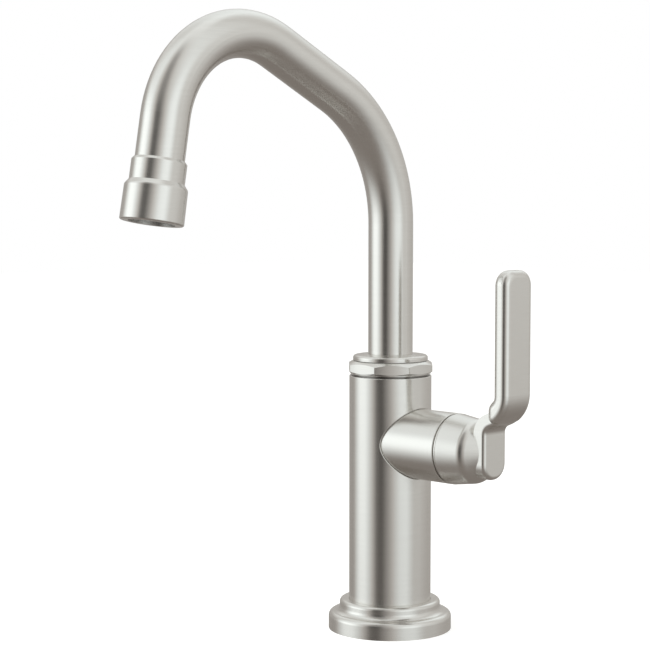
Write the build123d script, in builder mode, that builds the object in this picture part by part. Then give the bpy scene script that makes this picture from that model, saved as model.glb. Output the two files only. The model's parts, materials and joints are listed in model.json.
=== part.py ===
from build123d import *
from math import cos, radians, sqrt, tan
import os

# Beverage faucet: one cold water line, a spout that swivels and a lever valve on the side of the body.
# Millimetres. The origin is the centre of the foot on the deck and +Z is up. The spout reaches towards
# -Y, and the side arm with its lever towards +X.

# Fits: room between round pieces, gap between flat faces that turn past each other, room round an O-ring
slip_fit = 0.05
running_fit = 0.08
glide_gap = 0.1
ring_fit = 0.02

# Spout tube and its centre line
tube_radius = 11.11
tube_wall = 1.2
neck_rise = 75.24
rear_bend_radius = 71.41
rear_bend_angle = 63.55
bridge_length = 43.93
front_bend_radius = 46.71
front_bend_angle = 106.37

# Body
body_radius = 20.51
body_wall = 2.5
body_edge_round = 0.45
body_seam_round = 0.4
arm_height = 94.88
shoulder_rise = 15.5

# Foot
bead_width = 4.67
bead_height = 14.88
bead_round = 1.73
bead_groove = 0.15
bead_cove = 2.8
flange_width = 5.62
flange_height = 8.65
flange_round = 2.55
gasket_thickness = 1.2
gasket_inset = 1.7
gasket_rim = 2.8

# Mounting hub in the foot, and the tube that brings the water up to the valve
hub_flange_thickness = 6
hub_flange_lip = 0.5
hub_web = 3.4
hub_height = 26
shank_thread_radius = 12
shank_thread_depth = 14
waterway_radius = 3.5
inlet_tube_radius = 4.76
inlet_tube_wall = 0.9
inlet_socket_depth = 8
inlet_ring_depth = 4
inlet_ring_thickness = 1.5

# Spout post, its rings and the hub that turns on it
post_radius = 7
post_rise = 30
post_flange_thickness = 4
post_spigot_radius = 7.5
post_spigot_length = 8
post_ring_thickness = 1.8
post_ring_places = (13, 20)
lower_ring_thickness = 2.4
spout_hub_flange_thickness = 4
spout_hub_rise = 25.5
thrust_washer_thickness = 0.4
thrust_washer_margin = 0.1
chamber_room = 0.3
bushing_wall = 1.75

# Eight-sided nut on top of the body
nut_sides = 8
nut_height = 7.3
nut_hold = 2.7
nut_skirt_depth = 8.2
nut_skirt_wall = 1.5
nut_reveal = 0.9
nut_reveal_depth = 1.9
nut_washer_height = 0.5
nut_washer_inset = 0.36
nut_corner_cut = 0.1
nut_top_inset = 1.56
nut_chamfer_slope = 30
nut_edge_round = 0.25

# Disc at the foot of the neck
collar_radius = 18.65
collar_height = 2.35
collar_round = 1.35
collar_crown = 0.75
collar_ring_inset = 0.6
collar_ring_thickness = 0.3

# Side arm and the ring between arm and lever hub
arm_inset = 3.21
arm_reach = 43.2
arm_wall = 3.7
arm_mouth_wall = 2.3
arm_mouth_depth = 7.2
arm_seat_depth = 1.9
arm_groove = 1.6
arm_edge_round = 0.25
arm_ring_sleeve = 1.25
arm_ring_inset = 0.3
arm_ring_neck = 0.55
arm_ring_neck_depth = 0.9

# Valve: core in the body, cartridge in the arm
core_below_arm = 5.6
core_ring_room = 0.1
arm_spot_room = 0.15
spigot_length = 13
spigot_wall = 2.4
cartridge_wall = 2.3
cartridge_flange_thickness = 2.5
cartridge_flange_inset = 0.7
cartridge_roof = 1.0
cartridge_neck_radius = 8
cartridge_neck_length = 6.5
cartridge_lift = 0.4
seal_thickness = 1
fixed_disc_thickness = 4
moving_disc_thickness = 3
disc_gap = 0.05
driver_thickness = 1.4
driver_tongue_width = 3
driver_tongue_height = 1
port_radius = 2.3
port_rim = 0.9
port_pocket_depth = 1.5
stem_radius = 4.5
stem_spline_radius = 4
stem_spline_length = 13.5
stem_in_hub = 12.7
stem_tip_room = 0.5
stem_ring_thickness = 1.3
stem_ring_places = (2.8, 5.3)

# Lever: rounded hub, strap and blade in one casting, held by a set screw
hub_shoulder_place = 14.1
hub_shoulder_drop = 2
hub_shoulder_round = 6.1
hub_end_place = 22.6
hub_end_drop = 11.8
hub_edge_round = 0.3
hub_recess_depth = 4
hub_recess_wall = 3.6
strap_front = 23.5
strap_width = 16.6
strap_thickness = 6.7
strap_drop = 12.7
strap_foot_flat = 1
strap_edge_round = 2.1
bend_start = 9.5
bend_angle = 67
inner_bend = 4
outer_bend = 16.6
blade_offset = 14.3
blade_width = 20.1
blade_thickness = 8.95
blade_rise = 87.8
blade_top_round = 7.2
blade_front_round = 3.4
blade_back_round = 4.2
heel_place = 25.3
heel_height = 23.7
heel_slope = 45
heel_round = 5.4
heel_back_round = 3
set_screw_radius = 2.5
set_screw_sink = 5.3
set_screw_place = 8.2
set_screw_hex = 2.5
set_screw_socket_depth = 2.5

# Nozzle: adapter on the end of the tube, aerator housing and what it holds
nozzle_straight = 19.2
adapter_wall = 1.22
adapter_lip = 0.2
adapter_chamfer_length = 1.2
adapter_socket_depth = 4.8
adapter_length = 10.1
adapter_nipple_length = 7.7
adapter_nipple_wall = 2.6
adapter_seat = 1.2
housing_length = 18.2
housing_shoulder = 1.59
housing_chamfer_length = 2.1
housing_step = 0.17
housing_step_length = 0.6
housing_taper = 0.2
housing_edge_round = 0.8
housing_lip_thickness = 2
housing_lip_width = 0.8
housing_thread_room = 0.05
washer_thickness = 1.1
insert_wall = 1.9
insert_plate = 1.6
aerator_hole_radius = 0.7
aerator_hole_pitch = 2.05
aerator_hole_rings = 5
screen_thickness = 0.4
regulator_thickness = 2.4
regulator_hole_radius = 1.1
regulator_hole_count = 8
regulator_hole_circle = 6


# Each stack of turned pieces has a plane square to its axis: the deck's, the arm's and the nozzle's
arm_radius = body_radius - arm_inset
body_top = arm_height + arm_radius + shoulder_rise
neck_top = body_top + neck_rise

deck = Plane.XY
arm = Plane(origin=(0, 0, arm_height), x_dir=(0, 1, 0), z_dir=(1, 0, 0))


def section_of(stack):
    # Local x is the radius, local y the place along the stack's axis
    return Plane(stack.origin, x_dir=stack.x_dir, z_dir=-stack.y_dir)


def rounded_outline(corners):
    # A corner is its two coordinates and, where it is rounded, the rounding
    places = [corner[:2] for corner in corners]
    rounds = [corner[2] if len(corner) > 2 else 0 for corner in corners]
    with BuildLine() as outline:
        FilletPolyline(*places, radius=rounds, close=True)
    make_face(outline.line)


def turned(stack, corners, mode=Mode.ADD):
    with BuildSketch(section_of(stack)) as half_section:
        rounded_outline(corners)
    revolve(half_section.sketch, axis=Axis(stack.origin, stack.z_dir), mode=mode)


def sleeve(stack, start, end, outer_radius, inner_radius=0, mode=Mode.ADD):
    with BuildSketch(stack.offset(start)) as ring:
        Circle(outer_radius)
        if inner_radius:
            Circle(inner_radius, mode=Mode.SUBTRACT)
    extrude(ring.sketch, amount=end - start, mode=mode)


def bore(stack, start, end, radius):
    sleeve(stack, start, end, radius, mode=Mode.SUBTRACT)


def o_ring(stack, middle, inner_radius, thickness):
    with Locations(stack.offset(middle)):
        Torus(inner_radius + thickness / 2, thickness / 2)


def finish(piece, name):
    piece.part.label = name
    export_step(piece.part, f"parts/{name}.step")


os.makedirs("parts", exist_ok=True)

# Heights of the stack in the body, from the nut down to the valve core
shell_bore = body_radius - body_wall
shell_foot = hub_flange_thickness + hub_web
nut_top = body_top + nut_height
nut_seat = body_top - nut_hold
hub_flange_top = nut_seat - thrust_washer_thickness - glide_gap
hub_flange_bottom = hub_flange_top - spout_hub_flange_thickness
lower_ring_top = hub_flange_bottom - glide_gap
post_flange_top = lower_ring_top - lower_ring_thickness
core_top = post_flange_top - post_flange_thickness
core_bottom = arm_height - arm_radius - core_below_arm

# Base ring: straight flange, hollow curve and rounded bead, with a web that the body stands on
bead_radius = body_radius + bead_width
foot_radius = bead_radius + flange_width
hub_barrel_radius = shell_bore - slip_fit
hub_flange_radius = body_radius + hub_flange_lip
hub_recess_radius = hub_flange_radius + slip_fit
gasket_inner_radius = hub_recess_radius + gasket_inset
gasket_outer_radius = foot_radius - gasket_rim
with BuildPart() as base_ring:
    turned(deck, [
        (hub_recess_radius, 0),
        (foot_radius, 0),
        (foot_radius, flange_height, flange_round),
        (bead_radius, flange_height, bead_cove),
        (bead_radius, bead_height, bead_round),
        (body_radius + bead_groove, bead_height),
        (body_radius + slip_fit, bead_height - bead_groove),
        (body_radius + slip_fit, shell_foot),
        (hub_barrel_radius + slip_fit, shell_foot),
        (hub_barrel_radius + slip_fit, hub_flange_thickness),
        (hub_recess_radius, hub_flange_thickness),
    ])
    sleeve(deck, 0, gasket_thickness, gasket_outer_radius, gasket_inner_radius, Mode.SUBTRACT)
finish(base_ring, "base_ring")

with BuildPart() as base_gasket:
    sleeve(deck, 0, gasket_thickness, gasket_outer_radius - slip_fit, gasket_inner_radius + slip_fit)
finish(base_gasket, "base_gasket")

# Mounting hub: its flange holds the base ring down, its barrel carries the body shell
inlet_seat = hub_height - inlet_socket_depth
inlet_socket_radius = inlet_tube_radius + slip_fit
inlet_groove_radius = inlet_socket_radius + inlet_ring_thickness + ring_fit
inlet_groove_half = inlet_ring_thickness / 2 + slip_fit
lower_inlet_ring = hub_height - inlet_ring_depth
upper_inlet_ring = core_bottom + inlet_ring_depth
with BuildPart() as mounting_hub:
    sleeve(deck, 0, hub_flange_thickness, hub_flange_radius)
    sleeve(deck, hub_flange_thickness, hub_height, hub_barrel_radius)
    bore(deck, 0, shank_thread_depth, shank_thread_radius)
    bore(deck, shank_thread_depth, inlet_seat, waterway_radius)
    bore(deck, inlet_seat, hub_height, inlet_socket_radius)
    bore(deck, lower_inlet_ring - inlet_groove_half, lower_inlet_ring + inlet_groove_half, inlet_groove_radius)
finish(mounting_hub, "mounting_hub")

inlet_tube_top = core_bottom + inlet_socket_depth
with BuildPart() as inlet_tube:
    sleeve(deck, inlet_seat, inlet_tube_top, inlet_tube_radius, inlet_tube_radius - inlet_tube_wall)
finish(inlet_tube, "inlet_tube")

with BuildPart() as inlet_o_rings:
    for place in (lower_inlet_ring, upper_inlet_ring):
        o_ring(deck, place, inlet_socket_radius, inlet_ring_thickness)
finish(inlet_o_rings, "inlet_o_rings")

# Body shell: a plain tube with a round hole for the arm, its outer edge eased
with BuildPart() as body_shell:
    turned(deck, [
        (shell_bore, shell_foot),
        (body_radius, shell_foot),
        (body_radius, body_top, body_edge_round),
        (shell_bore, body_top),
    ])
    bore(arm, 0, body_radius, arm_radius + slip_fit)
    outer_wall = body_shell.faces().filter_by(GeomType.CYLINDER).sort_by(SortBy.AREA)[-1]
    fillet(outer_wall.edges().filter_by(GeomType.BSPLINE), body_seam_round)
finish(body_shell, "body_shell")

# Radii of the valve stack in the arm, each inside the one before
arm_bore = arm_radius - arm_wall
arm_mouth_radius = arm_radius - arm_mouth_wall
spigot_radius = arm_bore - slip_fit
cartridge_radius = spigot_radius - spigot_wall - slip_fit
cartridge_bore = cartridge_radius - cartridge_wall
disc_radius = cartridge_bore - slip_fit
port_offset = disc_radius - port_rim - port_radius
stem_bore = stem_radius + running_fit

# Places of the valve stack along the arm
core_face = sqrt(body_radius ** 2 - (arm_radius + slip_fit) ** 2) - arm_seat_depth
spigot_end = core_face + spigot_length
fixed_disc_start = core_face + seal_thickness
fixed_disc_end = fixed_disc_start + fixed_disc_thickness
moving_disc_start = fixed_disc_end + disc_gap
moving_disc_end = moving_disc_start + moving_disc_thickness
stem_start = moving_disc_end + driver_thickness
cartridge_shoulder = spigot_end - cartridge_roof
cartridge_flange_end = spigot_end + cartridge_flange_thickness
cartridge_end = cartridge_flange_end + cartridge_neck_length
hub_start = arm_reach + arm_groove
stem_end = hub_start + stem_in_hub

# Valve core: water comes up its middle, crosses to the cartridge and returns to the spout post
core_radius = shell_bore - core_ring_room
post_socket_bottom = core_top - post_spigot_length
with BuildPart() as valve_core:
    sleeve(deck, core_bottom, core_top, core_radius)
    bore(arm, core_face, body_radius, arm_radius + arm_spot_room)
    sleeve(arm, core_face, spigot_end, spigot_radius, cartridge_radius + slip_fit)
    bore(deck, core_bottom, inlet_tube_top, inlet_socket_radius)
    bore(deck, upper_inlet_ring - inlet_groove_half, upper_inlet_ring + inlet_groove_half, inlet_groove_radius)
    bore(deck, inlet_tube_top, arm_height - port_offset, waterway_radius)
    bore(deck, arm_height + port_offset, post_socket_bottom, waterway_radius)
    bore(deck, post_socket_bottom, core_top, post_spigot_radius + slip_fit)
    with BuildSketch(arm):
        with Locations((0, port_offset), (0, -port_offset)):
            Circle(port_radius)
    extrude(amount=core_face, mode=Mode.SUBTRACT)
finish(valve_core, "valve_core")

with BuildPart() as cartridge_seal:
    sleeve(arm, core_face, fixed_disc_start, disc_radius)
    with BuildSketch(arm.offset(core_face)):
        with Locations((0, port_offset), (0, -port_offset)):
            Circle(port_radius)
    extrude(amount=seal_thickness, mode=Mode.SUBTRACT)
finish(cartridge_seal, "cartridge_seal")

with BuildPart() as fixed_disc:
    sleeve(arm, fixed_disc_start, fixed_disc_end, disc_radius)
    with BuildSketch(arm.offset(fixed_disc_start)):
        with Locations((0, port_offset), (0, -port_offset)):
            Circle(port_radius)
    extrude(amount=fixed_disc_thickness, mode=Mode.SUBTRACT)
finish(fixed_disc, "fixed_disc")

# Moving disc: a pocket that joins the two ports when it lies along them, and a slot for the driver.
# The faucet is shut in the shown position, so there the pocket lies across the ports.
moving_disc_radius = cartridge_bore - running_fit
pocket_half_length = port_offset + port_radius
tongue_length = 2 * moving_disc_radius - 2 * driver_tongue_width
with BuildPart() as moving_disc:
    sleeve(arm, moving_disc_start, moving_disc_end, moving_disc_radius)
    with BuildSketch(arm.offset(moving_disc_start)):
        SlotOverall(2 * pocket_half_length, 2 * port_radius)
    extrude(amount=port_pocket_depth, mode=Mode.SUBTRACT)
    with BuildSketch(arm.offset(moving_disc_end)):
        Rectangle(tongue_length, driver_tongue_width + 2 * slip_fit)
    extrude(amount=-driver_tongue_height, mode=Mode.SUBTRACT)
finish(moving_disc, "moving_disc")

# Driver between stem and moving disc, with a tongue on each side at right angles to the other
with BuildPart() as disc_driver:
    sleeve(arm, moving_disc_end, stem_start, moving_disc_radius - driver_tongue_height)
    with BuildSketch(arm.offset(moving_disc_end - driver_tongue_height + disc_gap)):
        Rectangle(tongue_length - 2 * slip_fit, driver_tongue_width)
    extrude(amount=driver_tongue_height)
    with BuildSketch(arm.offset(stem_start)):
        Rectangle(driver_tongue_width, tongue_length - 2 * slip_fit)
    extrude(amount=driver_tongue_height - disc_gap)
finish(disc_driver, "disc_driver")

# Valve stem: slotted flange in the cartridge, grooves for two rings, and the end that turns with the lever
stem_flange_end = cartridge_shoulder - glide_gap
stem_ring_inner = stem_bore - ring_fit - stem_ring_thickness
stem_groove_radius = stem_ring_inner - ring_fit
stem_groove_half = stem_ring_thickness / 2 + slip_fit
with BuildPart() as valve_stem:
    sleeve(arm, stem_start, stem_flange_end, moving_disc_radius)
    sleeve(arm, stem_flange_end, stem_end - stem_spline_length, stem_radius)
    sleeve(arm, stem_end - stem_spline_length, stem_end, stem_spline_radius)
    for place in stem_ring_places:
        middle = cartridge_flange_end + place
        start = middle - stem_groove_half
        end = middle + stem_groove_half
        sleeve(arm, start, end, stem_radius, stem_groove_radius, Mode.SUBTRACT)
    with BuildSketch(arm.offset(stem_start)):
        Rectangle(driver_tongue_width + 2 * slip_fit, tongue_length)
    extrude(amount=driver_tongue_height, mode=Mode.SUBTRACT)
finish(valve_stem, "valve_stem")

with BuildPart() as stem_o_rings:
    for place in stem_ring_places:
        o_ring(arm, cartridge_flange_end + place, stem_ring_inner, stem_ring_thickness)
finish(stem_o_rings, "stem_o_rings")

# Cartridge body: a cup for the discs, a flange on the end of the core's spigot and a neck for the stem
with BuildPart() as cartridge_body:
    turned(arm, [
        (cartridge_bore, core_face + cartridge_lift),
        (cartridge_radius, core_face + cartridge_lift),
        (cartridge_radius, spigot_end),
        (spigot_radius - cartridge_flange_inset, spigot_end),
        (spigot_radius - cartridge_flange_inset, cartridge_flange_end),
        (cartridge_neck_radius, cartridge_flange_end),
        (cartridge_neck_radius, cartridge_end),
        (stem_bore, cartridge_end),
        (stem_bore, cartridge_shoulder),
        (cartridge_bore, cartridge_shoulder),
    ])
finish(cartridge_body, "cartridge_body")

with BuildPart() as cartridge_nut:
    sleeve(arm, cartridge_flange_end, cartridge_end, spigot_radius, cartridge_neck_radius + slip_fit)
finish(cartridge_nut, "cartridge_nut")

# Side arm: a sleeve from the core's face through the shell, with a wider mouth for the ring
arm_mouth_start = arm_reach - arm_mouth_depth
with BuildPart() as side_arm:
    turned(arm, [
        (arm_bore, core_face),
        (arm_radius, core_face),
        (arm_radius, arm_reach, arm_edge_round),
        (arm_mouth_radius, arm_reach),
        (arm_mouth_radius, arm_mouth_start),
        (arm_bore, arm_mouth_start),
    ])
finish(side_arm, "side_arm")

arm_ring_outer = arm_mouth_radius - slip_fit
arm_ring_inner = arm_ring_outer - arm_ring_sleeve
arm_ring_end = hub_start - glide_gap
arm_ring_rim = arm_radius - arm_ring_inset
arm_ring_step = arm_reach + arm_ring_neck
with BuildPart() as arm_glide_ring:
    turned(arm, [
        (arm_ring_inner, arm_mouth_start),
        (arm_ring_outer, arm_mouth_start),
        (arm_ring_outer, arm_reach),
        (arm_ring_rim - arm_ring_neck_depth, arm_reach),
        (arm_ring_rim - arm_ring_neck_depth, arm_ring_step),
        (arm_ring_rim, arm_ring_step, arm_edge_round),
        (arm_ring_rim, arm_ring_end, arm_edge_round),
        (arm_ring_inner, arm_ring_end),
    ])
finish(arm_glide_ring, "arm_glide_ring")

# Spout post: carries the spout hub and brings the water up into the tube
post_top = post_flange_top + post_rise
post_ring_inner = post_radius + running_fit - ring_fit - post_ring_thickness
post_groove_radius = post_ring_inner - ring_fit
post_groove_half = post_ring_thickness / 2 + slip_fit
with BuildPart() as spout_post:
    sleeve(deck, post_socket_bottom, core_top, post_spigot_radius)
    sleeve(deck, core_top, post_flange_top, core_radius)
    sleeve(deck, post_flange_top, post_top, post_radius)
    for place in post_ring_places:
        middle = post_flange_top + place
        start = middle - post_groove_half
        end = middle + post_groove_half
        sleeve(deck, start, end, post_radius, post_groove_radius, Mode.SUBTRACT)
    bore(deck, post_socket_bottom, post_top, waterway_radius)
finish(spout_post, "spout_post")

with BuildPart() as post_o_rings:
    for place in post_ring_places:
        o_ring(deck, post_flange_top + place, post_ring_inner, post_ring_thickness)
finish(post_o_rings, "post_o_rings")

# Octagon nut: threads into the shell, holds the spout hub down and shows as the eight-sided collar
chamber_radius = shell_bore - slip_fit - nut_skirt_wall
hub_flange_radius_top = chamber_radius - chamber_room
thrust_radius = hub_flange_radius_top - thrust_washer_margin
bushing_outer = tube_radius + running_fit + bushing_wall
nut_washer_radius = body_radius - nut_washer_inset
nut_washer_bottom = body_top + nut_reveal
nut_washer_top = nut_washer_bottom + nut_washer_height
nut_corner_radius = body_radius / cos(radians(180 / nut_sides)) - nut_corner_cut
nut_slope = tan(radians(nut_chamfer_slope))
nut_top_radius = body_radius - nut_top_inset
nut_lower_corner = nut_washer_top + (nut_corner_radius - nut_washer_radius) * nut_slope
nut_upper_corner = nut_top - (nut_corner_radius - nut_top_radius) * nut_slope
with BuildPart() as octagon_nut:
    with BuildSketch(deck.offset(nut_washer_bottom)):
        RegularPolygon(body_radius, nut_sides, major_radius=False, rotation=180 / nut_sides)
    extrude(amount=nut_top - nut_washer_bottom)
    turned(deck, [
        (0, nut_washer_bottom),
        (nut_washer_radius, nut_washer_bottom, nut_edge_round),
        (nut_washer_radius, nut_washer_top),
        (nut_corner_radius, nut_lower_corner, nut_edge_round),
        (nut_corner_radius, nut_upper_corner, nut_edge_round),
        (nut_top_radius, nut_top, nut_edge_round),
        (0, nut_top),
    ], Mode.INTERSECT)
    sleeve(deck, body_top, nut_washer_bottom, body_radius - nut_reveal_depth)
    sleeve(deck, body_top - nut_skirt_depth, body_top, shell_bore - slip_fit)
    bore(deck, body_top - nut_skirt_depth, nut_seat, chamber_radius)
    bore(deck, nut_seat, nut_top, bushing_outer + slip_fit)
finish(octagon_nut, "octagon_nut")

with BuildPart() as lower_glide_ring:
    sleeve(deck, post_flange_top, lower_ring_top, thrust_radius, post_radius + slip_fit)
finish(lower_glide_ring, "lower_glide_ring")

with BuildPart() as thrust_washer:
    sleeve(deck, nut_seat - thrust_washer_thickness, nut_seat, thrust_radius, tube_radius + running_fit)
finish(thrust_washer, "thrust_washer")

with BuildPart() as neck_bushing:
    sleeve(deck, nut_seat, nut_top, bushing_outer, tube_radius + running_fit)
finish(neck_bushing, "neck_bushing")

collar_ring_radius = collar_radius - collar_ring_inset
with BuildPart() as collar_glide_ring:
    sleeve(deck, nut_top, nut_top + collar_ring_thickness, collar_ring_radius, tube_radius + running_fit)
finish(collar_glide_ring, "collar_glide_ring")

# Spout hub: sleeve in the foot of the tube, with the flange that the nut holds down
hub_sleeve_radius = tube_radius - tube_wall - slip_fit
with BuildPart() as spout_hub:
    sleeve(deck, hub_flange_bottom, hub_flange_top, hub_flange_radius_top)
    sleeve(deck, hub_flange_top, hub_flange_top + spout_hub_rise, hub_sleeve_radius)
    bore(deck, hub_flange_bottom, hub_flange_top + spout_hub_rise, post_radius + running_fit)
finish(spout_hub, "spout_hub")

collar_bottom = nut_top + collar_ring_thickness + glide_gap
collar_edge = collar_bottom + collar_height
collar_bore = tube_radius + slip_fit
with BuildPart() as spout_collar:
    turned(deck, [
        (collar_bore, collar_bottom),
        (collar_radius, collar_bottom),
        (collar_radius, collar_edge, collar_round),
        (collar_bore, collar_edge + collar_crown),
    ])
finish(spout_collar, "spout_collar")

# Spout tube: neck, rear bend, straight bridge, front bend and a straight end for the nozzle
nozzle_angle = radians(rear_bend_angle + front_bend_angle)
tube_in_adapter = nozzle_straight + adapter_socket_depth
with BuildPart() as spout_tube:
    with BuildLine(Plane.YZ) as spout_path:
        neck = Line((0, hub_flange_top), (0, neck_top))
        rear_bend = JernArc(neck @ 1, neck % 1, rear_bend_radius, rear_bend_angle)
        bridge = Line(rear_bend @ 1, rear_bend @ 1 + (rear_bend % 1) * bridge_length)
        front_bend = JernArc(bridge @ 1, bridge % 1, front_bend_radius, front_bend_angle)
        Line(front_bend @ 1, front_bend @ 1 + (front_bend % 1) * tube_in_adapter)
    with BuildSketch(deck.offset(hub_flange_top)):
        Circle(tube_radius)
        Circle(tube_radius - tube_wall, mode=Mode.SUBTRACT)
    sweep(path=spout_path.wire())
finish(spout_tube, "spout_tube")

# Nozzle stack, with its axis along the straight end of the tube
nozzle = Plane(origin=front_bend @ 1, x_dir=(1, 0, 0), z_dir=front_bend % 1)
adapter_bore = tube_radius + slip_fit
adapter_radius = adapter_bore + adapter_wall
adapter_end = nozzle_straight + adapter_length
nipple_radius = adapter_radius - adapter_seat
nipple_end = adapter_end + adapter_nipple_length
with BuildPart() as nozzle_adapter:
    turned(nozzle, [
        (adapter_bore, nozzle_straight),
        (adapter_bore + adapter_lip, nozzle_straight),
        (adapter_radius, nozzle_straight + adapter_chamfer_length, adapter_lip),
        (adapter_radius, adapter_end),
        (nipple_radius, adapter_end),
        (nipple_radius, nipple_end),
        (nipple_radius - adapter_nipple_wall, nipple_end),
        (nipple_radius - adapter_nipple_wall, tube_in_adapter),
        (adapter_bore, tube_in_adapter),
    ])
finish(nozzle_adapter, "nozzle_adapter")

housing_bore = nipple_radius + housing_thread_room
housing_end = adapter_end + housing_length
housing_seat = housing_end - housing_lip_thickness
housing_shoulder_radius = adapter_radius + housing_shoulder
housing_step_radius = housing_shoulder_radius + housing_step
housing_step_place = adapter_end + housing_chamfer_length + housing_step_length
with BuildPart() as aerator_housing:
    turned(nozzle, [
        (housing_bore, adapter_end),
        (adapter_radius, adapter_end),
        (housing_shoulder_radius, adapter_end + housing_chamfer_length, housing_edge_round),
        (housing_step_radius, housing_step_place),
        (housing_step_radius + housing_taper, housing_end, housing_edge_round),
        (housing_bore - housing_lip_width, housing_end),
        (housing_bore - housing_lip_width, housing_seat),
        (housing_bore, housing_seat),
    ])
finish(aerator_housing, "aerator_housing")

insert_radius = housing_bore - slip_fit
insert_start = nipple_end + washer_thickness
insert_bore = insert_radius - insert_wall
plate_start = housing_seat - insert_plate
with BuildPart() as aerator_washer:
    sleeve(nozzle, nipple_end, insert_start, insert_radius, nipple_radius - adapter_nipple_wall)
finish(aerator_washer, "aerator_washer")


def cut_small_holes(plane, depth):
    with BuildSketch(plane) as holes:
        Circle(aerator_hole_radius)
        for ring in range(1, aerator_hole_rings):
            with PolarLocations(ring * aerator_hole_pitch, 6 * ring):
                Circle(aerator_hole_radius)
    extrude(holes.sketch, amount=depth, mode=Mode.SUBTRACT)


with BuildPart() as aerator_insert:
    sleeve(nozzle, insert_start, housing_seat, insert_radius)
    bore(nozzle, insert_start, plate_start, insert_bore)
    cut_small_holes(nozzle.offset(plate_start), insert_plate)
finish(aerator_insert, "aerator_insert")

with BuildPart() as aerator_screen:
    sleeve(nozzle, plate_start - screen_thickness, plate_start, insert_bore - slip_fit)
    cut_small_holes(nozzle.offset(plate_start - screen_thickness), screen_thickness)
finish(aerator_screen, "aerator_screen")

regulator_start = plate_start - screen_thickness - regulator_thickness
with BuildPart() as flow_regulator:
    sleeve(nozzle, regulator_start, regulator_start + regulator_thickness, insert_bore - slip_fit)
    with BuildSketch(nozzle.offset(regulator_start)):
        with PolarLocations(regulator_hole_circle, regulator_hole_count):
            Circle(regulator_hole_radius)
    extrude(amount=regulator_thickness, mode=Mode.SUBTRACT)
finish(flow_regulator, "flow_regulator")

# Lever handle: strap and blade are each drawn from the side and from the front, then the hub joins them,
# with a recess over the arm ring, a bore for the stem and a hole for the set screw
strap_face = hub_start + strap_front
strap_back = strap_face - strap_thickness
blade_face = strap_face + blade_offset
blade_back = blade_face - blade_thickness
half_turn = tan(radians(bend_angle / 2))
bend_slope = 1 / tan(radians(bend_angle))
first_corner = arm_height + bend_start + inner_bend * half_turn
second_corner = first_corner + blade_offset * bend_slope
back_shift = strap_thickness * half_turn
strap_bottom = arm_height - strap_drop
strap_top = second_corner + outer_bend
strap_foot_round = (strap_width - strap_foot_flat) / 2
blade_top = arm_height + blade_rise
heel_front = hub_start + heel_place
heel_bottom = arm_height + heel_height
heel_top = heel_bottom + (blade_back - heel_front) * tan(radians(heel_slope))
cut_edge = heel_front - outer_bend
cut_corner = first_corner + (cut_edge - strap_face) * bend_slope
screw = Plane(origin=(hub_start + set_screw_place, 0, arm_height), x_dir=(1, 0, 0), z_dir=(0, 0, -1))


def bar(side_view, half_width, bottom, top, bottom_round, top_round):
    with BuildPart() as piece:
        with BuildSketch(Plane.XZ) as side:
            rounded_outline(side_view)
        extrude(side.sketch, amount=half_width, both=True)
        with BuildSketch(Plane.YZ) as front:
            rounded_outline([
                (half_width, bottom, bottom_round),
                (half_width, top, top_round),
                (-half_width, top, top_round),
                (-half_width, bottom, bottom_round),
            ])
        extrude(front.sketch, amount=2 * blade_face, mode=Mode.INTERSECT)
    return piece


def round_rim(piece, facing, end):
    # The side edges of the faces that look to the front (1) or to the back (-1), with the rim at
    # their top (-1) or at their bottom (0)
    faces = piece.faces().filter_by(lambda face: facing * face.normal_at().X > 0.3)
    edges = faces.edges()
    return edges.filter_by(Axis.Y, reverse=True) + edges.filter_by(Axis.Y).group_by(Axis.Z)[end]


strap = bar([
    (strap_face, strap_bottom),
    (strap_face, first_corner, inner_bend),
    (blade_face, second_corner, outer_bend),
    (blade_face, strap_top),
    (blade_face - strap_thickness, strap_top),
    (blade_face - strap_thickness, second_corner + back_shift, outer_bend - strap_thickness),
    (strap_back, first_corner + back_shift, inner_bend + strap_thickness),
    (strap_back, strap_bottom),
], strap_width / 2, strap_bottom, strap_top, strap_foot_round, 0)
with strap:
    fillet(round_rim(strap, 1, 0), strap_edge_round)

# The blade's back is rounded while it is still a plain block, then the front of the bend is cut
blade = bar([
    (heel_front, arm_height),
    (blade_face, arm_height),
    (blade_face, blade_top),
    (blade_back, blade_top),
    (blade_back, heel_top, heel_back_round),
    (heel_front, heel_bottom, heel_round),
], blade_width / 2, arm_height, blade_top, 0, blade_top_round)
with blade:
    fillet(round_rim(blade, -1, -1), blade_back_round)
    with BuildSketch(Plane.XZ) as bend_cut:
        rounded_outline([
            (cut_edge, cut_corner),
            (blade_face, second_corner, outer_bend),
            (blade_face, blade_top),
            (cut_edge, blade_top),
        ])
    extrude(bend_cut.sketch, amount=blade_width, both=True, mode=Mode.INTERSECT)
    fillet(round_rim(blade, 1, -1), blade_front_round)

with BuildPart() as lever_handle:
    add(strap.part)
    add(blade.part)
    turned(arm, [
        (0, hub_start),
        (arm_radius, hub_start, hub_edge_round),
        (arm_radius - hub_shoulder_drop, hub_start + hub_shoulder_place, hub_shoulder_round),
        (arm_radius - hub_end_drop, hub_start + hub_end_place),
        (0, hub_start + hub_end_place),
    ])
    bore(arm, hub_start, hub_start + hub_recess_depth, arm_radius - hub_recess_wall)
    bore(arm, hub_start, stem_end + stem_tip_room, stem_spline_radius + slip_fit)
    bore(screw, 0, arm_radius, set_screw_radius + slip_fit)
finish(lever_handle, "lever_handle")

set_screw_end = arm_radius - set_screw_sink
with BuildPart() as handle_set_screw:
    sleeve(screw, stem_spline_radius, set_screw_end, set_screw_radius)
    with BuildSketch(screw.offset(set_screw_end)):
        RegularPolygon(set_screw_hex / 2, 6, major_radius=False)
    extrude(amount=-set_screw_socket_depth, mode=Mode.SUBTRACT)
finish(handle_set_screw, "handle_set_screw")
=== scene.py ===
import json
import math

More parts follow.
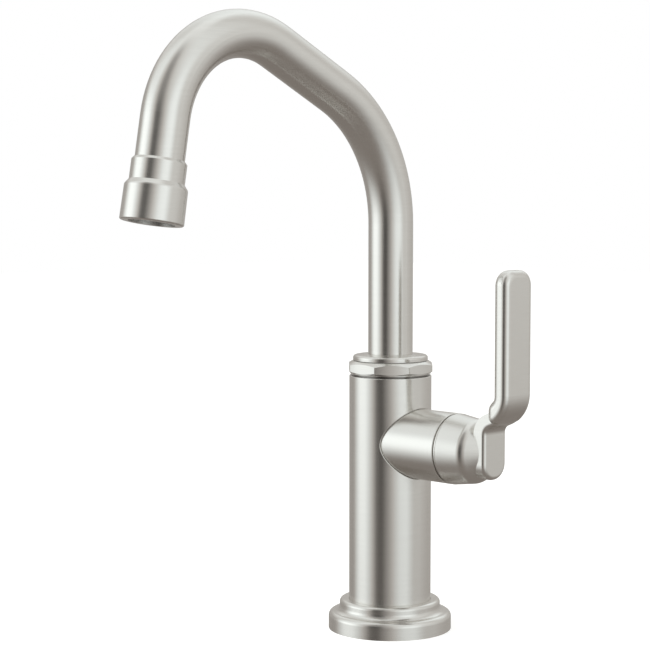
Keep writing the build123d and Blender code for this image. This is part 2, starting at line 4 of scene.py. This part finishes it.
import bpy
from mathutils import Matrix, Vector

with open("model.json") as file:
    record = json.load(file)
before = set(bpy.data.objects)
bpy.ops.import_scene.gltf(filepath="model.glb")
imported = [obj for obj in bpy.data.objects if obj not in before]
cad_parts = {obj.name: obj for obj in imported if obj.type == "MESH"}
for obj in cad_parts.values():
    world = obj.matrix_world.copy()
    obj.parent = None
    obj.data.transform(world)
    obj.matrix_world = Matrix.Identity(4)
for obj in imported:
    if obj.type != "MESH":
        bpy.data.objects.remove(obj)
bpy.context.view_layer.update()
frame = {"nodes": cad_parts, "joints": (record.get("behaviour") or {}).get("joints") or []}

nodes = frame["nodes"]
print("frame loaded:", len(nodes), "pieces")


# camera: sizes in metres, angles in degrees

cameraPlace = {
    "azimuth": 42.923,      # round the body, from the front towards the lever
    "distance": 0.93916,    # from the body's axis
    "height": 0.22625,
    "turnLeft": 1.993,
    "lookDown": 4.487,
    "lens": 104.607,
    "nearest": 0.05,
}


def makeCamera(place):
    azimuth = math.radians(place["azimuth"])
    turn = azimuth + math.radians(place["turnLeft"])
    down = math.radians(place["lookDown"])
    data = bpy.data.cameras.new("camera")
    data.lens = place["lens"]
    data.clip_start = place["nearest"]
    camera = bpy.data.objects.new("camera", data)
    bpy.context.scene.collection.objects.link(camera)
    camera.location = (
        place["distance"] * math.sin(azimuth),
        -place["distance"] * math.cos(azimuth),
        place["height"],
    )
    look = Vector((-math.sin(turn) * math.cos(down), math.cos(turn) * math.cos(down), -math.sin(down)))
    camera.rotation_euler = look.to_track_quat("-Z", "Y").to_euler()
    bpy.context.scene.camera = camera


makeCamera(cameraPlace)
bpy.context.scene.view_settings.view_transform = "Standard"
print("camera placed")


# small helpers for node trees

def feed(tree, socket, value):
    # a socket takes what another node gives, or a value of its own
    if isinstance(value, bpy.types.NodeSocket):
        tree.links.new(value, socket)
    elif socket.type == "RGBA":
        socket.default_value = (*value, 1.0)
    else:
        socket.default_value = value


def addNode(tree, kind, **sockets):
    node = tree.nodes.new(kind)
    for name, value in sockets.items():
        feed(tree, node.inputs[name], value)
    return node


def mathNode(tree, operation, first, second=0.0, third=0.0, clamp=False):
    node = tree.nodes.new("ShaderNodeMath")
    node.operation = operation
    node.use_clamp = clamp
    for socket, value in zip(node.inputs, (first, second, third)):
        feed(tree, socket, value)
    return node.outputs[0]


def vectorNode(tree, operation, first, second=(0.0, 0.0, 0.0)):
    node = tree.nodes.new("ShaderNodeVectorMath")
    node.operation = operation
    feed(tree, node.inputs[0], first)
    feed(tree, node.inputs[1], second)
    return node.outputs["Value" if operation in ("DOT_PRODUCT", "LENGTH") else "Vector"]


def scaleVector(tree, vector, share):
    node = tree.nodes.new("ShaderNodeVectorMath")
    node.operation = "SCALE"
    feed(tree, node.inputs[0], vector)
    feed(tree, node.inputs["Scale"], share)
    return node.outputs["Vector"]


def upwardPart(tree, vector):
    return addNode(tree, "ShaderNodeSeparateXYZ", Vector=vector).outputs["Z"]


def levelPart(tree, vector):
    return vectorNode(tree, "MULTIPLY", vector, (1.0, 1.0, 0.0))


def noise(tree, place, scale, detail, uneven=0.5):
    node = addNode(tree, "ShaderNodeTexNoise", Vector=place, Scale=scale, Detail=detail, Roughness=uneven)
    return node.outputs["Fac"]


def mixColours(tree, share, first, second):
    node = tree.nodes.new("ShaderNodeMix")
    node.data_type = "RGBA"
    # the node has one factor and one pair of sockets for each kind of data: these are for colours
    feed(tree, node.inputs[0], share)
    feed(tree, node.inputs[6], first)
    feed(tree, node.inputs[7], second)
    return node.outputs[2]


def smoothStep(tree, value, start, end):
    node = tree.nodes.new("ShaderNodeMapRange")
    node.interpolation_type = "SMOOTHSTEP"
    feed(tree, node.inputs["Value"], value)
    feed(tree, node.inputs["From Min"], start)
    feed(tree, node.inputs["From Max"], end)
    return node.outputs["Result"]


def rampNode(tree, factor, stops):
    node = tree.nodes.new("ShaderNodeValToRGB")
    ramp = node.color_ramp
    while len(ramp.elements) < len(stops):
        ramp.elements.new(1.0)
    for element, (place, colour) in zip(ramp.elements, stops):
        element.position = place
        element.color = (*colour, 1.0)
    feed(tree, node.inputs["Fac"], factor)
    return node.outputs["Color"]


def objectPlace(tree):
    return tree.nodes.new("ShaderNodeTexCoord").outputs["Object"]


def surfaceNormal(tree):
    return tree.nodes.new("ShaderNodeNewGeometry").outputs["Normal"]


def toWorld(tree, direction):
    turned = tree.nodes.new("ShaderNodeVectorTransform")
    turned.vector_type = "VECTOR"
    turned.convert_from = "OBJECT"
    turned.convert_to = "WORLD"
    feed(tree, turned.inputs[0], direction)
    return turned.outputs[0]


def seenInMetal(tree, rays):
    return mathNode(tree, "MAXIMUM", rays.outputs["Is Glossy Ray"], rays.outputs["Is Transmission Ray"])


def finishSurface(tree, shader):
    output = tree.nodes.new("ShaderNodeOutputMaterial")
    feed(tree, output.inputs["Surface"], shader.outputs[0])


def newMaterial(name):
    material = bpy.data.materials.new(name)
    material.use_nodes = True
    material.node_tree.nodes.clear()
    return material


# studio: white background, tall lit walls round the faucet that the metal mirrors, pale floor

studio = {
    # bearing round the faucet in degrees, anticlockwise from +X, and how bright the wall is there
    "walls": [
        (-180, 0.42),
        (-168, 0.48),
        (-154, 1.00),
        (-142, 1.42),
        (-122, 1.42),
        (-100, 0.72),
        (-84, 0.08),
        (-70, 0.05),
        (-50, 0.42),
        (-20, 1.10),
        (0, 1.18),
        (22, 0.74),
        (46, 0.74),
        (60, 0.66),
        (80, 0.58),
        (110, 0.52),
        (150, 0.44),
        (180, 0.42),
    ],
    # the same higher up
    "upperWalls": [
        (-180, 0.70),
        (-152, 0.95),
        (-122, 1.00),
        (-100, 0.60),
        (-84, 0.30),
        (-65, 0.30),
        (-40, 0.70),
        (0, 0.95),
        (40, 0.80),
        (62, 0.60),
        (90, 0.90),
        (110, 1.10),
        (140, 1.00),
        (180, 0.70),
    ],
    # heights are the upward part of the direction that the metal mirrors
    "upperStart": 0.22,
    "upperEnd": 0.55,
    "roofStart": 0.90,
    "roofEnd": 0.99,
    "roof": (0.95, 0.97, 0.96),
    "horizonStart": -0.70,
    "horizonEnd": 0.10,
    "horizonTilt": 0.05,
    "towardsCamera": (0.68, -0.73, 0.0),
    "belowFloor": (0.250, 0.225, 0.205),
    # dim walls are tinted warm and bright ones cool
    "warmTint": (1.035, 1.0, 0.955),
    "coolTint": (0.965, 1.01, 1.01),
    "warmLevel": 0.45,
    "coolLevel": 1.1,
    "fillLight": (0.62, 0.62, 0.61),
    "white": (1.0, 1.0, 1.0),
    "floorColour": (0.72, 0.72, 0.71),
    "floorSize": 6.0,
    "floorGlow": 0.62,
}
keyLamp = {
    "place": (-0.5, -0.9, 1.5),
    "aim": (0.0, -0.06, 0.12),
    "size": 1.2,
    "power": 12.0,
}


def wallLevel(tree, turnShare, walls):
    stops = [((angle + 180) / 360, (level, level, level)) for angle, level in walls]
    return rampNode(tree, turnShare, stops)


def makeWorld(settings):
    world = bpy.data.worlds.new("studio")
    bpy.context.scene.world = world
    world.use_nodes = True
    tree = world.node_tree
    tree.nodes.clear()
    direction = tree.nodes.new("ShaderNodeTexCoord").outputs["Generated"]
    parts = addNode(tree, "ShaderNodeSeparateXYZ", Vector=direction)
    upward = parts.outputs["Z"]
    bearing = mathNode(tree, "ARCTAN2", parts.outputs["Y"], parts.outputs["X"])
    turnShare = mathNode(tree, "MULTIPLY_ADD", bearing, 0.5 / math.pi, 0.5)

    lower = wallLevel(tree, turnShare, settings["walls"])
    upper = wallLevel(tree, turnShare, settings["upperWalls"])
    high = smoothStep(tree, upward, settings["upperStart"], settings["upperEnd"])
    level = mixColours(tree, high, lower, upper)
    bright = smoothStep(tree, level, settings["warmLevel"], settings["coolLevel"])
    tint = mixColours(tree, bright, settings["warmTint"], settings["coolTint"])
    walls = vectorNode(tree, "MULTIPLY", level, tint)

    nearness = vectorNode(tree, "DOT_PRODUCT", direction, settings["towardsCamera"])
    height = mathNode(tree, "MULTIPLY_ADD", nearness, settings["horizonTilt"], upward)
    aboveFloor = smoothStep(tree, height, settings["horizonStart"], settings["horizonEnd"])
    mirrored = mixColours(tree, aboveFloor, settings["belowFloor"], walls)
    inRoof = smoothStep(tree, upward, settings["roofStart"], settings["roofEnd"])
    mirrored = mixColours(tree, inRoof, mirrored, settings["roof"])

    rays = tree.nodes.new("ShaderNodeLightPath")
    lit = mixColours(tree, seenInMetal(tree, rays), settings["fillLight"], mirrored)
    seen = mixColours(tree, rays.outputs["Is Camera Ray"], lit, settings["white"])
    background = addNode(tree, "ShaderNodeBackground", Color=seen)
    output = tree.nodes.new("ShaderNodeOutputWorld")
    feed(tree, output.inputs["Surface"], background.outputs[0])


def makeFloor(settings):
    # the floor shows white and takes the shadow, and the metal mirrors the studio through it
    bpy.ops.object.select_all(action="DESELECT")
    bpy.ops.mesh.primitive_plane_add(size=settings["floorSize"], location=(0, 0, 0))
    floor = bpy.context.object
    floor.name = "floor"
    material = newMaterial("paleFloor")
    tree = material.node_tree
    matt = addNode(tree, "ShaderNodeBsdfDiffuse", Color=settings["floorColour"])
    rays = tree.nodes.new("ShaderNodeLightPath")
    glow = mathNode(tree, "MULTIPLY", rays.outputs["Is Camera Ray"], settings["floorGlow"])
    light = addNode(tree, "ShaderNodeEmission", Color=settings["white"], Strength=glow)
    lit = tree.nodes.new("ShaderNodeAddShader")
    feed(tree, lit.inputs[0], matt.outputs[0])
    feed(tree, lit.inputs[1], light.outputs[0])
    clear = tree.nodes.new("ShaderNodeBsdfTransparent")
    shown = tree.nodes.new("ShaderNodeMixShader")
    feed(tree, shown.inputs[0], seenInMetal(tree, rays))
    feed(tree, shown.inputs[1], lit.outputs[0])
    feed(tree, shown.inputs[2], clear.outputs[0])
    finishSurface(tree, shown)
    floor.data.materials.append(material)


def makeLamp(name, settings):
    data = bpy.data.lights.new(name, "AREA")
    data.shape = "DISK"
    data.size = settings["size"]
    data.energy = settings["power"]
    lamp = bpy.data.objects.new(name, data)
    bpy.context.scene.collection.objects.link(lamp)
    lamp.location = settings["place"]
    aim = Vector(settings["aim"]) - Vector(settings["place"])
    lamp.rotation_euler = aim.to_track_quat("-Z", "Y").to_euler()
    lamp.visible_glossy = False


makeWorld(studio)
makeFloor(studio)
makeLamp("keyLamp", keyLamp)
print("studio built")


# places on the faucet that the brushing follows, in metres and degrees

upright = (0.0, 0.0, 1.0)
sideways = (1.0, 0.0, 0.0)
withoutSideways = (0.0, 1.0, 1.0)
nearUpright = (0.04, 0.02, 1.0)     # square to none of the lever's flats
bodyCentre = (0.0, 0.0, -0.01)      # below the foot, so that no surface meets it
leverJoint = next(joint for joint in frame["joints"] if joint["name"] == "lever_turn")
armCentre = (-0.01, 0.0, leverJoint["pos_m"][2])
bodyTop = max(vertex.co.z for vertex in nodes["body_shell"].data.vertices)
spoutShape = {
    "neckTop": 0.20291,
    "rearRadius": 0.07141,
    "rearAngle": 63.55,
    "bridgeLength": 0.04393,
    "frontRadius": 0.04671,
    "frontAngle": 106.37,
}
# how far the centre for the nozzle's rings lies back along its axis
nozzleBack = 0.02


def onPlane(forward, upward):
    return Vector((0.0, -forward, upward))


def makeTubeLine(shape):
    # centre line of the spout: neck, rear bend, bridge, front bend, nozzle
    slope = math.radians(shape["rearAngle"])
    nozzleSlope = slope + math.radians(shape["frontAngle"])
    bridge = onPlane(math.sin(slope), math.cos(slope))
    nozzle = onPlane(math.sin(nozzleSlope), math.cos(nozzleSlope))
    rearCentre = onPlane(shape["rearRadius"], shape["neckTop"])
    bridgeOutward = onPlane(-math.cos(slope), math.sin(slope))
    nozzleOutward = onPlane(-math.cos(nozzleSlope), math.sin(nozzleSlope))
    bridgeStart = rearCentre + shape["rearRadius"] * bridgeOutward
    bridgeEnd = bridgeStart + shape["bridgeLength"] * bridge
    frontCentre = bridgeEnd - shape["frontRadius"] * bridgeOutward
    nozzleStart = frontCentre + shape["frontRadius"] * nozzleOutward
    return {
        # each bend: its centre, the direction before it and the one after it
        "bends": [(rearCentre, Vector(upright), bridge), (frontCentre, bridge, nozzle)],
        "bridge": bridge,
        "bridgeMiddle": (bridgeStart + bridgeEnd) / 2,
        "nozzle": nozzle,
        "nozzleStart": nozzleStart,
    }


tubeLine = makeTubeLine(spoutShape)
nozzleAxis = tubeLine["nozzle"]
nozzleCentre = tubeLine["nozzleStart"] - nozzleBack * nozzleAxis


# directions across the brushing, which spread the mirror image

def acrossTurned(tree, axis, centre):
    # a turned piece: along its profile
    spoke = vectorNode(tree, "SUBTRACT", objectPlace(tree), centre)
    around = toWorld(tree, vectorNode(tree, "CROSS_PRODUCT", axis, spoke))
    return vectorNode(tree, "NORMALIZE", vectorNode(tree, "CROSS_PRODUCT", surfaceNormal(tree), around))


def acrossFlat(tree, axis):
    # a piece of flats and bends: up its surface
    normal = surfaceNormal(tree)
    around = vectorNode(tree, "CROSS_PRODUCT", toWorld(tree, axis), normal)
    return vectorNode(tree, "NORMALIZE", vectorNode(tree, "CROSS_PRODUCT", normal, around))


def alongTube(tree, centreLine):
    # the bent tube: along its centre line, which is square to the spokes of its bends
    place = objectPlace(tree)
    spokes = []
    for centre, before, after in centreLine["bends"]:
        spoke = vectorNode(tree, "SUBTRACT", place, centre)
        spoke = vectorNode(tree, "MULTIPLY", spoke, withoutSideways)
        early = mathNode(tree, "MINIMUM", vectorNode(tree, "DOT_PRODUCT", spoke, before), 0.0)
        spoke = vectorNode(tree, "SUBTRACT", spoke, scaleVector(tree, before, early))
        late = mathNode(tree, "MAXIMUM", vectorNode(tree, "DOT_PRODUCT", spoke, after), 0.0)
        spokes.append(vectorNode(tree, "SUBTRACT", spoke, scaleVector(tree, after, late)))
    pastMiddle = vectorNode(tree, "SUBTRACT", place, centreLine["bridgeMiddle"])
    forward = vectorNode(tree, "DOT_PRODUCT", pastMiddle, centreLine["bridge"])
    inFront = mathNode(tree, "GREATER_THAN", forward, 0.0)
    rearSpoke = scaleVector(tree, spokes[0], mathNode(tree, "SUBTRACT", 1.0, inFront))
    spoke = vectorNode(tree, "ADD", rearSpoke, scaleVector(tree, spokes[1], inFront))
    return vectorNode(tree, "NORMALIZE", toWorld(tree, vectorNode(tree, "CROSS_PRODUCT", sideways, spoke)))


def brushing(tree, finish):
    if "centreLine" in finish:
        return alongTube(tree, finish["centreLine"])
    if "centre" in finish:
        return acrossTurned(tree, finish["axis"], finish["centre"])
    return acrossFlat(tree, finish["axis"])


# brushed nickel of the outer pieces

nickelLook = {
    "light": (0.80, 0.785, 0.755),
    "dark": (0.75, 0.735, 0.705),
    "darkEnd": 0.25,
    "lightStart": 0.75,
    "streakDetail": 3.0,
    "streakUneven": 0.6,
    "rough": 0.24,
    "roughSpread": 0.05,
    "cloudScale": 60.0,
    "cloudDetail": 2.0,
    "cloudSpread": 0.02,
    "brushed": 0.7,
    "bump": 0.08,
    "bumpDepth": 0.00002,
}
# painted shade: the nickel is darkened in the seam between body and nut, standing in for the seam's shadow
seamPaintedShade = {
    "middle": 0.00043,      # above the top of the body
    "reach": 0.0006,        # up and down from there
    "foot": 0.0194,         # radius at which it is full
    "mouth": 0.0204,        # radius at which it starts
    "share": 0.8,
    "shade": (0.17, 0.16, 0.15),
}
# the larger the number, the finer the streaks along that axis
streaksFineInZ = (60, 60, 2600)
streaksFineInX = (2600, 60, 60)
nickelFinishes = {
    "turnedNickel": {
        "pieces": ("base_ring", "body_shell", "spout_collar"),
        "streaks": streaksFineInZ,
        "axis": upright,
        "centre": bodyCentre,
    },
    "nutNickel": {
        "pieces": ("octagon_nut",),
        "streaks": streaksFineInZ,
        "axis": upright,
        "centre": bodyCentre,
        "crown": 0.5,
    },
    "armNickel": {
        "pieces": ("side_arm", "arm_glide_ring"),
        "streaks": streaksFineInX,
        "axis": sideways,
        "centre": armCentre,
    },
    "tubeNickel": {
        "pieces": ("spout_tube",),
        "streaks": streaksFineInZ,
        "centreLine": tubeLine,
    },
    "nozzleNickel": {
        "pieces": ("nozzle_adapter", "aerator_housing"),
        "streaks": streaksFineInZ,
        "axis": nozzleAxis,
        "centre": nozzleCentre,
    },
    "leverNickel": {
        "pieces": ("lever_handle",),
        "streaks": streaksFineInZ,
        "axis": nearUpright,
    },
}


def crowned(tree, share):
    # flats that bulge very slightly round the upright axis
    outward = vectorNode(tree, "NORMALIZE", levelPart(tree, objectPlace(tree)))
    normal = surfaceNormal(tree)
    slant = mathNode(tree, "ABSOLUTE", upwardPart(tree, normal))
    steep = mathNode(tree, "SUBTRACT", 1.0, slant, clamp=True)
    spread = scaleVector(tree, toWorld(tree, outward), mathNode(tree, "MULTIPLY", steep, share))
    return vectorNode(tree, "NORMALIZE", vectorNode(tree, "ADD", normal, spread))


def paintedShadeInSeam(tree, place, seam):
    # how much painted shade a place gets: nothing outside the seam, most at its foot
    radius = vectorNode(tree, "LENGTH", levelPart(tree, place))
    depth = mathNode(tree, "SUBTRACT", 1.0, smoothStep(tree, radius, seam["foot"], seam["mouth"]))
    height = bodyTop + seam["middle"]
    level = mathNode(tree, "COMPARE", upwardPart(tree, place), height, seam["reach"])
    return mathNode(tree, "MULTIPLY", mathNode(tree, "MULTIPLY", depth, level), seam["share"])


def makeNickel(name, finish, look):
    material = newMaterial(name)
    tree = material.node_tree
    place = objectPlace(tree)
    scaled = addNode(tree, "ShaderNodeMapping", Vector=place, Scale=finish["streaks"]).outputs[0]
    streak = noise(tree, scaled, 1.0, look["streakDetail"], look["streakUneven"])
    cloud = noise(tree, place, look["cloudScale"], look["cloudDetail"])
    shade = rampNode(tree, streak, [(look["darkEnd"], look["dark"]), (look["lightStart"], look["light"])])
    # painted shade darkens the nickel inside the seam between body and nut
    shade = mixColours(tree, paintedShadeInSeam(tree, place, seamPaintedShade), shade, seamPaintedShade["shade"])
    smoothest = look["rough"] - look["roughSpread"] / 2
    roughness = mathNode(tree, "MULTIPLY_ADD", streak, look["roughSpread"], smoothest)
    roughness = mathNode(tree, "MULTIPLY_ADD", cloud, look["cloudSpread"], roughness)
    bump = addNode(tree, "ShaderNodeBump", Height=streak, Strength=look["bump"], Distance=look["bumpDepth"])
    if "crown" in finish:
        feed(tree, bump.inputs["Normal"], crowned(tree, finish["crown"]))
    metal = tree.nodes.new("ShaderNodeBsdfPrincipled")
    feed(tree, metal.inputs["Base Color"], shade)
    feed(tree, metal.inputs["Metallic"], 1.0)
    feed(tree, metal.inputs["Roughness"], roughness)
    feed(tree, metal.inputs["Anisotropic"], look["brushed"])
    feed(tree, metal.inputs["Tangent"], brushing(tree, finish))
    feed(tree, metal.inputs["Normal"], bump.outputs[0])
    finishSurface(tree, metal)
    return material


def dress(material, *names):
    for name in names:
        mesh = nodes[name].data
        mesh.materials.clear()
        mesh.materials.append(material)


for finishName, nickelFinish in nickelFinishes.items():
    dress(makeNickel(finishName, nickelFinish, nickelLook), *nickelFinish["pieces"])
print("nickel made:", ", ".join(nickelFinishes))


# finishes of the inner pieces, by the name of their material

innerLooks = {
    "brass": {
        "light": (0.80, 0.64, 0.36), "dark": (0.70, 0.54, 0.28), "worn": (0.60, 0.45, 0.23),
        "edge": (0.86, 0.72, 0.46), "stretch": (200, 200, 2400), "wearScale": 90.0,
        "rough": 0.28, "roughSpread": 0.12, "bump": 0.15, "metal": 1.0,
    },
    "copper_tube": {
        "light": (0.79, 0.47, 0.34), "dark": (0.68, 0.38, 0.26), "worn": (0.52, 0.28, 0.19),
        "edge": (0.86, 0.58, 0.44), "stretch": (2200, 2200, 90), "wearScale": 120.0,
        "rough": 0.32, "roughSpread": 0.14, "bump": 0.12, "metal": 1.0,
    },
    "steel_screw": {
        "light": (0.58, 0.58, 0.59), "dark": (0.46, 0.46, 0.47), "worn": (0.40, 0.40, 0.41),
        "edge": (0.70, 0.70, 0.71), "stretch": (900, 900, 2600), "wearScale": 300.0,
        "rough": 0.30, "roughSpread": 0.12, "bump": 0.15, "metal": 1.0,
    },
    "black_rubber": {
        "light": (0.040, 0.040, 0.040), "dark": (0.022, 0.022, 0.022), "worn": (0.060, 0.059, 0.057),
        "edge": (0.055, 0.055, 0.054), "stretch": (1500, 1500, 1500), "wearScale": 150.0,
        "rough": 0.72, "roughSpread": 0.12, "bump": 0.35, "metal": 0.0,
    },
    "white_ceramic": {
        "light": (0.91, 0.90, 0.87), "dark": (0.86, 0.85, 0.82), "worn": (0.82, 0.81, 0.77),
        "edge": (0.80, 0.79, 0.76), "stretch": (1800, 1800, 1800), "wearScale": 120.0,
        "rough": 0.22, "roughSpread": 0.10, "bump": 0.06, "metal": 0.0,
    },
    "white_plastic": {
        "light": (0.85, 0.85, 0.83), "dark": (0.79, 0.79, 0.77), "worn": (0.74, 0.73, 0.70),
        "edge": (0.90, 0.90, 0.88), "stretch": (1200, 1200, 1200), "wearScale": 130.0,
        "rough": 0.48, "roughSpread": 0.14, "bump": 0.18, "metal": 0.0,
    },
    "grey_plastic": {
        "light": (0.46, 0.45, 0.43), "dark": (0.39, 0.38, 0.37), "worn": (0.34, 0.33, 0.32),
        "edge": (0.55, 0.54, 0.52), "stretch": (1200, 1200, 1200), "wearScale": 130.0,
        "rough": 0.40, "roughSpread": 0.14, "bump": 0.18, "metal": 0.0,
    },
    "dark_plastic": {
        "light": (0.13, 0.13, 0.13), "dark": (0.095, 0.095, 0.095), "worn": (0.16, 0.16, 0.155),
        "edge": (0.19, 0.19, 0.19), "stretch": (1200, 1200, 1200), "wearScale": 150.0,
        "rough": 0.46, "roughSpread": 0.14, "bump": 0.20, "metal": 0.0,
    },
}
# where grain, wear and the colour of the edges begin and end, the same for all of them
innerWear = {
    "grainDetail": 3.0,
    "wearDetail": 4.0,
    "darkEnd": 0.3,
    "lightStart": 0.7,
    "wornStart": 0.55,
    "wornEnd": 0.75,
    "edgeStart": 0.53,
    "edgeEnd": 0.60,
    "bumpDepth": 0.00003,
}


def makeFinish(name, look, wear):
    # grain between two colours, with cloudy wear and edges in a colour of their own
    material = newMaterial(name)
    tree = material.node_tree
    place = objectPlace(tree)
    scaled = addNode(tree, "ShaderNodeMapping", Vector=place, Scale=look["stretch"]).outputs[0]
    grain = noise(tree, scaled, 1.0, wear["grainDetail"])
    cloud = noise(tree, place, look["wearScale"], wear["wearDetail"])
    shade = rampNode(tree, grain, [(wear["darkEnd"], look["dark"]), (wear["lightStart"], look["light"])])
    worn = smoothStep(tree, cloud, wear["wornStart"], wear["wornEnd"])
    shade = mixColours(tree, worn, shade, look["worn"])
    sharpness = tree.nodes.new("ShaderNodeNewGeometry").outputs["Pointiness"]
    atEdge = smoothStep(tree, sharpness, wear["edgeStart"], wear["edgeEnd"])
    shade = mixColours(tree, atEdge, shade, look["edge"])
    smoothest = look["rough"] - look["roughSpread"] / 2
    roughness = mathNode(tree, "MULTIPLY_ADD", grain, look["roughSpread"], smoothest)
    roughness = mathNode(tree, "MULTIPLY_ADD", cloud, look["roughSpread"], roughness, clamp=True)
    bump = addNode(tree, "ShaderNodeBump", Height=grain, Strength=look["bump"], Distance=wear["bumpDepth"])
    surface = tree.nodes.new("ShaderNodeBsdfPrincipled")
    feed(tree, surface.inputs["Base Color"], shade)
    feed(tree, surface.inputs["Metallic"], look["metal"])
    feed(tree, surface.inputs["Roughness"], roughness)
    feed(tree, surface.inputs["Normal"], bump.outputs[0])
    finishSurface(tree, surface)
    return material


innerFinishes = {}
for nodeName, node in nodes.items():
    slotName = node.data.materials[0].name.split(".")[0]
    if slotName in innerLooks:
        if slotName not in innerFinishes:
            innerFinishes[slotName] = makeFinish(slotName + "Finish", innerLooks[slotName], innerWear)
        dress(innerFinishes[slotName], nodeName)
print("finishes made:", ", ".join(sorted(innerFinishes)))
